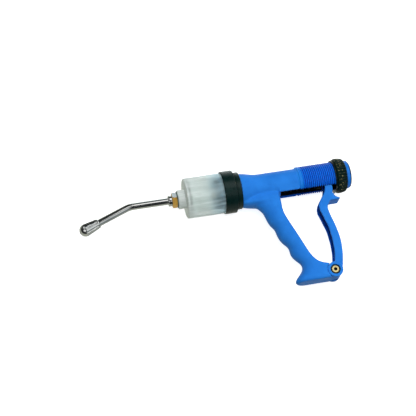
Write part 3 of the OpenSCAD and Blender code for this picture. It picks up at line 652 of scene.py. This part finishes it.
def tip_outline():
    """The tip from its neck over the dome to the outlet hole, its bore and its socket."""
    neck, end, dome, hole, socket_end, steps = 34.4, 55.4, 6.3, 1.7, 43.4, 56
    base, start, root = end - dome, neck + 0.6, 4.7
    outer = [(neck, 4.1), (neck + 0.15, 4.4), (start, root)]
    outer += [(start + (base - start) * k / steps, root + (dome - root) * k / steps)
              for k in range(1, steps + 1)]
    rim = math.acos((hole + 0.25) / dome)
    outer += [(base + dome * math.sin(a), dome * math.cos(a)) for a in np.linspace(0.03, rim, 40)]
    return outer + [
        (end - 0.42, hole), (socket_end, hole), (socket_end, NOZZLE_SOCKET), (neck, NOZZLE_SOCKET)]


def sleeve_outline(step=0.2):
    """The sleeve's outline: a step that laps over the tube, a plain outer line for the thread to be
    cut from, and its bore."""
    x0, x1 = THREAD_FRONT, THREAD_END
    lap = [(x0, THREAD_BORE), (x0 - 1.5, 13.6), (x0, 14.7)]
    rows = [(x, THREAD_RADIUS) for x in np.arange(x0 + step, x1 - step / 2, step)]
    return lap + rows + [(x1, 14.8), (x1, THREAD_BORE)]


def sleeve_thread(x, r, angles):
    """A helical groove that fades in over the sleeve's first turns."""
    if r < 14.0:
        return np.full(len(angles), r)
    pitch, depth, start, fade = 2.0, 0.95, 78.8, 3.0
    wave = 0.5 + 0.5 * np.cos(TURN * (x / pitch - angles / TURN))
    share = min(max((x - start) / fade, 0.0), 1.0)
    return r - depth * share * (1 - wave ** 0.8)


def dose_flutes(x, r, angles):
    """Thirty-six grooves along the dose nut's rim, which fade out at both ends."""
    if r < 15.6:
        return np.full(len(angles), r)
    count, deepest, first, last, fade = 36, 0.75, 118.2, 127.7, 1.2
    pitch = TURN / count
    depth = deepest * min(max((x - first) / fade, 0.0), max((last - x) / fade, 0.0), 1.0)
    return r - depth * np.cos(off_centre(angles, pitch) / pitch * math.pi) ** 6


def dose_nut_outline():
    """A nut with a crowned rim that is highest near its front."""
    front, back, bore = 116.4, 127.7, 15.08
    flank = [(front, 15.5), (116.5, 16.0), (116.9, 16.6), (117.5, 17.1), (118.3, 17.5), (119.2, 17.75)]
    crown = [(120.0 + 0.6 * k, 17.85 - 0.008 * k * k) for k in range(12)]
    return [(front, bore)] + flank + crown + [(127.2, 16.3), (127.6, 15.7), (back, bore)]


def hose_barbs():
    """The corners of the hose tail: spigot, flange and a row of barbs."""
    bore, barb, root = 1.5, 4.5, 4.1
    corners = [(101.8, bore, 0.1), (101.8, 2.45, 0.3), (109.8, 2.45, 0.1), (109.8, 6.4, 0.4),
               (112, 6.4, 0.4), (112, barb, 0.3)]
    for x in np.arange(116.0, 126.1, 2.5):
        corners += [(x, barb, 0.1), (x + 0.1, barb, 0), (x + 0.15, root, 0.05)]
    return corners + [(129.0, barb, 0.3), (TAIL_END, 4.0, 0.3), (TAIL_END, bore, 0.2)]


def coil(x0, x1, mean, wire, curls, steps=40):
    """A coil spring whose first and last curls lie closed."""
    turns = np.linspace(0, curls, curls * steps + 1)
    rise = np.clip(np.minimum(turns, curls - turns) / 0.9, 0.28, 1.0)
    run = np.concatenate([[0], np.cumsum((rise[1:] + rise[:-1]) / 2)])
    x = x0 + wire + (x1 - x0 - 2 * wire) * run / run[-1]
    path = np.stack([x, mean * np.cos(TURN * turns), mean * np.sin(TURN * turns)], 1)
    return round_bar(path, wire, 12, (1, 0, 0))


def screw_outline():
    """The pivot screw: its end, shank, rounded head and socket."""
    edge = 0.6  # rounding of the head
    outline = [(-9.3, 0), (-9.3, 2.1), (-8.9, 2.5), (7.2, 2.5), (7.2, 3.6), (7.3, 3.7)]
    outline += [(8.6 + edge * math.sin(a), 3.1 + edge * math.cos(a))
                for a in np.linspace(0, math.pi / 2, 8)]
    return outline + [(9.2, 2.1), (9.0, 1.62), (5.2, 1.5), (4.6, 0)]


def screw_socket(x, r, angles):
    """The hexagon of the screw's socket, which is the only narrow part of its outline."""
    if r > 2.0:
        return np.full(len(angles), r)
    return hexagon(2 * r, 0)(x, 2 * r, angles)


# ---- pieces ----
# The corners of a turned piece are (x, radius, rounding).

# Handle and lever
handle = moulded("handle_body_moulded", "handle_body", 0.6, 8, slot_rails())
dress(handle, "gun", "blue_plastic", bored_blue, "handle_body", sharp=60)
lever = moulded("lever_moulded", "lever", 0.45, 7)
dress(lever, "lever", "blue_plastic", blue, "lever", sharp=60)

# Barrel, its nut and seal
turned("barrel_frosted", [
    (-45.4, 5.6, 0.3), (-45.4, 9.6, 0.7), (-38, 9.6, 0.8), (-38, 20.3, 1.6), (1.2, 20.3, 0.2),
    (1.2, 19.3, 0.2), (10, 19.3, 0.4), (10, 16.3, 0.3), (-33.5, 16.3, 1.2), (-33.5, 2.6, 0.3),
    (-36.5, 2.6, 0.2), (-36.5, 5.6, 0.3)], "gun", "clear_barrel", clear, "barrel", count=128)
turned("barrel_nut_turned", [
    (0, 20.35, 0.15), (0, NUT_RIM, 0.9), (12.1, NUT_RIM, 0.5), (12.1, 18.2, 0.1), (13.4, 18.2, 0.1),
    (13.4, 18.9, 0.3), (18.1, 18.9, 0.7), (18.1, 15.55, 0.2), (11.4, 15.55, 0.1), (11.4, 19.35, 0.1),
    (1.25, 19.35, 0.1), (1.25, 20.35, 0.1)], "gun", "black_plastic", teal_black, "barrel_nut", count=128)
turned("barrel_seal_ring", ring_corners(10, 11.4, 16.5, 19.3), "gun", "rubber", rubber, "barrel_seal")

# Nozzle
turned("nozzle_washer_ring", ring_corners(-46.2, -45.4, 5.65, 8.2, 0.1, 0.25),
       "gun", "rubber", fibre, "nozzle_washer")
turned("nozzle_collar_turned", [
    (-55, NOZZLE_SOCKET, 0.2), (-55, 5.5, 0.7), (-51.2, 5.5, 0.25), (-51.2, NOZZLE_SOCKET, 0.1)],
    "gun", "nozzle_chrome", chrome, "nozzle_collar")
fitting_mesh = lathe(fitting_outline(), 144, hexagon(HEX_FLATS, HEX_CORE))
fitting = new_object("nozzle_fitting_hex", *fitting_mesh)
dress(fitting, "gun", "brass", brass, "nozzle_fitting", sharp=22)
# Two opposite flats of the hexagon take the white finish: a painted highlight.
glint_facets_turn = math.radians(60)
glint_facets_way = Vector((0, math.cos(glint_facets_turn), math.sin(glint_facets_turn)))
repaint(fitting, glint_facets, lambda face: (
    abs(face.normal.dot(glint_facets_way)) > 0.9 and face.center.yz.length > HEX_CORE * MM))
tube = new_object("nozzle_tube_bent", *hollow_tube(nozzle_path(), NOZZLE_OUTER, NOZZLE_INNER))
dress(tube, "gun", "nozzle_chrome", chrome, "nozzle_tube")
tip_verts, tip_faces = lathe(tip_outline(), 240, tip_flutes)
tip = new_object("nozzle_tip_fluted", on_lower_arm(tip_verts), tip_faces)
dress(tip, "gun", "nozzle_chrome", chrome, "nozzle_tip")

# Thread sleeve, end collar, dose nut and stop washer
sleeve = new_object("thread_sleeve_helical", *lathe(sleeve_outline(), 120, sleeve_thread))
combine(sleeve, box_object((76, -20, -SLOT_HALF), (SLOT_END, 0, SLOT_HALF)), "DIFFERENCE")
dress(sleeve, "gun", "thread_blue", deep_blue, "thread_sleeve", sharp=50)
turned("end_collar_rounded", [
    (THREAD_END, 10.75, 0), (THREAD_END, 14.2, 0.3), (132.8, 14.2, 2.4), (132.8, 8.5, 0.9),
    (120.1, 8.5, 0.3), (120.1, 10.75, 0.3)], "gun", "blue_plastic", rimmed_blue, "end_collar")
dose_nut = new_object("dose_nut_fluted", *lathe(dose_nut_outline(), 360, dose_flutes))
dress(dose_nut, "dose_nut", "black_plastic", ribbed_black, "dose_nut", sharp=50)
washer_ring = lathe(fillet(ring_corners(115.15, 116.35, 15.08, 16.5, 0.15, 0.35)))
washer = new_object("dose_stop_washer_keyed", *washer_ring)
combine(washer, box_object((115.2, -15.6, -8.6), (116.3, -11.2, 8.6)), "UNION")
dress(washer, "dose_stop", "black_plastic", black, "dose_stop_washer")

# Piston, rod and what is on it
turned("piston_head_turned", [
    (-8.7, 5.45, 0.2), (-8.7, 15.9, 0.6), (-7.4, 15.9, 0.2), (-7.4, 12.97, 0.3), (-4, 12.97, 0.3),
    (-4, 15.9, 0.2), (0.6, 15.9, 0.2), (0.6, 12.97, 0.3), (4, 12.97, 0.3), (4, 15.9, 0.2),
    (5.3, 15.9, 0.6), (5.3, 7.5, 0.6), (9.1, 7.5, 0.5), (9.1, 4.55, 0.2), (1.31, 4.55, 0.1),
    (1.31, 2, 0.1), (-0.79, 2, 0.1), (-0.79, 4.3, 0.1), (-7.1, 4.3, 0.1), (-7.1, 5.45, 0.1)],
    "piston", "piston_plastic", piston_teal, "piston_head")
ring_verts, ring_faces = torus(-5.7, 14.62, 1.6)
more_verts, more_faces = torus(2.3, 14.62, 1.6)
rings = new_object("piston_rings_round", np.concatenate([ring_verts, more_verts]),
                   ring_faces + [[v + len(ring_verts) for v in f] for f in more_faces])
dress(rings, "piston", "rubber", rubber, "piston_rings")
turned("piston_rod_ground", [
    (1.31, 2.5, 0.2), (1.31, 4.5, 0.3), (109.8, 4.5, 0.2), (109.8, 2.5, 0.1)],
    "piston", "rod_steel", steel, "piston_rod", count=64)
turned("crosshead_turned", ring_corners(97, 102, 4.55, 10.45, 0.2, 0.6),
       "piston", "black_plastic", slot_dark_shade, "crosshead")
locknut_mesh = lathe(chamfered_hex(92.5, 97, 12, 4.55), 96, hexagon(12, 5.5))
locknut = new_object("rod_locknut_hex", *locknut_mesh)
dress(locknut, "piston", "brass", slot_dark_shade, "rod_locknut", sharp=22)
turned("hose_tail_barbed", hose_barbs(), "piston", "brass", brass, "hose_tail", count=64)
turned("rod_seal_ring", ring_corners(11.65, 14.4, 4.58, 8.4), "gun", "rubber", rubber, "rod_seal")
turned("rod_bush_turned", ring_corners(14.45, 23.25, 4.58, 6.95), "gun", "brass", brass, "rod_bush")
turned("spring_seat_washer", ring_corners(23.3, 24.3, 5, 10.3, 0.2, 0.2),
       "gun", "rod_steel", steel, "spring_seat")

# Springs
return_spring = new_object("return_spring_coil", *coil(24.35, 96.95, 8.6, 0.7, 12))
dress(return_spring, "gun", "spring_steel", slot_dark_shade, "return_spring", sharp=70)
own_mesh(return_spring)
outlet_spring = new_object("outlet_spring_coil", *coil(-47.15, -41.83, 2.6, 0.3, 4))
dress(outlet_spring, "gun", "spring_steel", slot_dark_shade, "outlet_spring", sharp=70)
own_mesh(outlet_spring)

# Pivot
turned("pivot_bush_turned", ring_corners(-4.9, 4.9, 2.58, 3.9, 0.2, 0.3),
       "gun", "brass", brass, "pivot_bush", count=64, place=on_pivot)
screw_verts, screw_faces = lathe(screw_outline(), 96, screw_socket, closed=False)
screw = new_object("pivot_screw_socket", on_pivot(screw_verts), screw_faces)
dress(screw, "lever", "brass", pale_brass, "pivot_screw", sharp=35)
# The faces inside the screw's socket take the dark rubber finish: painted shade in the socket.
pivot_place = Vector(frame_points(PIVOT))
repaint(screw, rubber, lambda face: (
    face.center.z > 4 * MM and (face.center - pivot_place).xy.length < 1.75 * MM))
# A black washer in the recess round the screw head, its black is painted shade for the recess.
turned("pivot_shade_washer", [(7.2, 3.2, 0.1), (7.2, 4.95, 0.1), (7.8, 4.95, 0.25), (7.8, 3.2, 0.1)],
       "lever", "black_plastic", black, count=64, place=on_pivot)
nut_outline = chamfered_hex(-9.2, -7.2, 7.6, 2.55, 0.4)
nut_verts, nut_faces = lathe(nut_outline, 96, hexagon(7.6, 3, math.pi / 6))
pivot_nut = new_object("pivot_nut_hex", on_pivot(nut_verts), nut_faces)
dress(pivot_nut, "lever", "rod_steel", steel, "pivot_nut", sharp=22)

# Valve balls
for node, x, radius in (("inlet_ball", -2.8, 2.8), ("outlet_ball", -39.04, 3.6)):
    half_circle = [(x - radius * math.cos(a), radius * math.sin(a)) for a in np.linspace(0, math.pi, 33)]
    ball = new_object(node + "_polished", *lathe(half_circle, 64, closed=False))
    dress(ball, node, "ball_steel", ball_steel, node, sharp=70)

# The CAD node whose shape is right
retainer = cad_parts["inlet_retainer"].data
retainer.materials.clear()
retainer.materials.append(brass)


# ---- stage, light and camera ----


def floor():
    """A wide pale floor, a little bright by itself so that shadows stay faint. The gun is lit by the
    room below instead, so the floor's brightness doesn't flood its undersides."""
    half, z = 60.0, -NUT_RIM * MM
    mesh = bpy.data.meshes.new("floor")
    corners = [(-half, -half, z), (half, -half, z), (half, half, z), (-half, half, z)]
    mesh.from_pydata(corners, [], [(0, 1, 2, 3)])
    made = bpy.data.materials.new("floor")
    made.use_nodes = True
    sockets = shader_inputs(made)
    sockets["Base Color"].default_value = (0.6, 0.6, 0.6, 1)
    sockets["Roughness"].default_value = 0.9
    sockets["Emission Color"].default_value = (1, 1, 1, 1)
    sockets["Emission Strength"].default_value = 0.88
    mesh.materials.append(made)
    obj = linked("floor", mesh)
    obj.visible_diffuse = obj.visible_glossy = False


def softbox(name, place, aim, size, power, diffuse=True, glossy=True):
    """A soft rectangular light at a place, turned towards a point. Metres and watts. One that isn't
    diffuse shows in reflections alone, and one that isn't glossy never does."""
    lamp = bpy.data.lights.new(name, "AREA")
    lamp.shape, lamp.size, lamp.size_y = "RECTANGLE", *size
    lamp.energy = power
    obj = linked(name, lamp)
    obj.location = place
    obj.rotation_mode = "QUATERNION"
    obj.rotation_quaternion = (Vector(aim) - Vector(place)).to_track_quat("-Z", "Y")
    obj.visible_camera, obj.visible_diffuse, obj.visible_glossy = False, diffuse, glossy


def surroundings():
    """A dim room with a glow on the right, a bright far horizon and a grey ground."""
    world = bpy.data.worlds.new("studio")
    world.use_nodes = True
    tree = world.node_tree
    way = add(tree, "SeparateXYZ", {"Vector": add(tree, "TexCoord").outputs["Generated"]}).outputs
    glow = times(tree, spread(tree, way["X"], 0.20, 0.45, 0.06, 0.55),
                 spread(tree, way["Z"], 0.1, 0.5, 0.4, 1.0))
    horizon = times(tree, spread(tree, way["Z"], 0.02, 0.45, 1.1, 0.0), spread(tree, way["Y"], 0.1, 0.4),
                    spread(tree, way["X"], -0.02, 0.14, 0.05, 1.0))
    ground = times(tree, spread(tree, way["Z"], -0.02, -0.08),
                   spread(tree, way["X"], 0.2, 0.5, 0.70, 0.36))
    above = add(tree, "Math", {0: glow, 1: horizon}, operation="MAXIMUM").outputs["Value"]
    cool, warm = (
        add(tree, "VectorMath", {0: colour, "Scale": share}, operation="SCALE").outputs["Vector"]
        for colour, share in (((0.86, 0.98, 1.04), above), ((0.96, 1.0, 0.86), ground)))
    both = add(tree, "VectorMath", {0: cool, 1: warm}, operation="ADD").outputs["Vector"]
    background = tree.nodes["Background"].inputs
    tree.links.new(both, background["Color"])
    background["Strength"].default_value = 1.0
    bpy.context.scene.world = world


def photo_camera():
    """The camera that the photograph's outlines were fitted with."""
    turn, tilt, roll = math.radians(9.4547), math.radians(20.0), math.radians(11.9318)
    sensor, focal_pixels, frame_pixels = 36.0, 1100, 416
    place = Vector(frame_points((-186.688, -389.659, 1019.620)))
    level = Vector((math.cos(turn), 0, math.sin(turn)))
    above = Vector((
        -math.sin(turn) * math.sin(tilt), math.cos(tilt), math.cos(turn) * math.sin(tilt)))
    right = level * math.cos(roll) - above * math.sin(roll)
    up = level * math.sin(roll) + above * math.cos(roll)
    axes = Matrix((right, up, right.cross(up))).transposed()
    lens = bpy.data.cameras.new("camera")
    lens.sensor_width, lens.lens = sensor, sensor * focal_pixels / frame_pixels
    lens.clip_start, lens.clip_end = 0.05, 100.0
    camera = linked("camera", lens)
    camera.matrix_world = Matrix.Translation(place) @ axes.to_4x4()
    bpy.context.scene.camera = camera


floor()
surroundings()
softbox("key", (-0.10, -0.06, 2.0), (-0.10, -0.03, 0), (0.9, 0.9), 31.0, glossy=False)
softbox("front", (-1.05, -1.02, 2.0), (-0.3, -0.1, 0), (1.9, 1.4), 12.0, diffuse=False)
softbox("side", (0.75, -0.45, 1.20), (-0.12, -0.03, 0), (1.2, 1.2), 2.0, glossy=False)
softbox("back", (-1.0, 1.1, 1.4), (-0.15, 0, 0), (1.0, 1.0), 4.0)
softbox("panel_far", (0.16, 0.18, 0.5), (0.16, 0.18, 0), (0.67, 0.36), 1.50, diffuse=False)
softbox("panel_near", (0.195, -0.275, 0.5), (0.195, -0.275, 0), (0.61, 0.35), 0.56, diffuse=False)
photo_camera()
bpy.context.scene.view_settings.view_transform = "Standard"
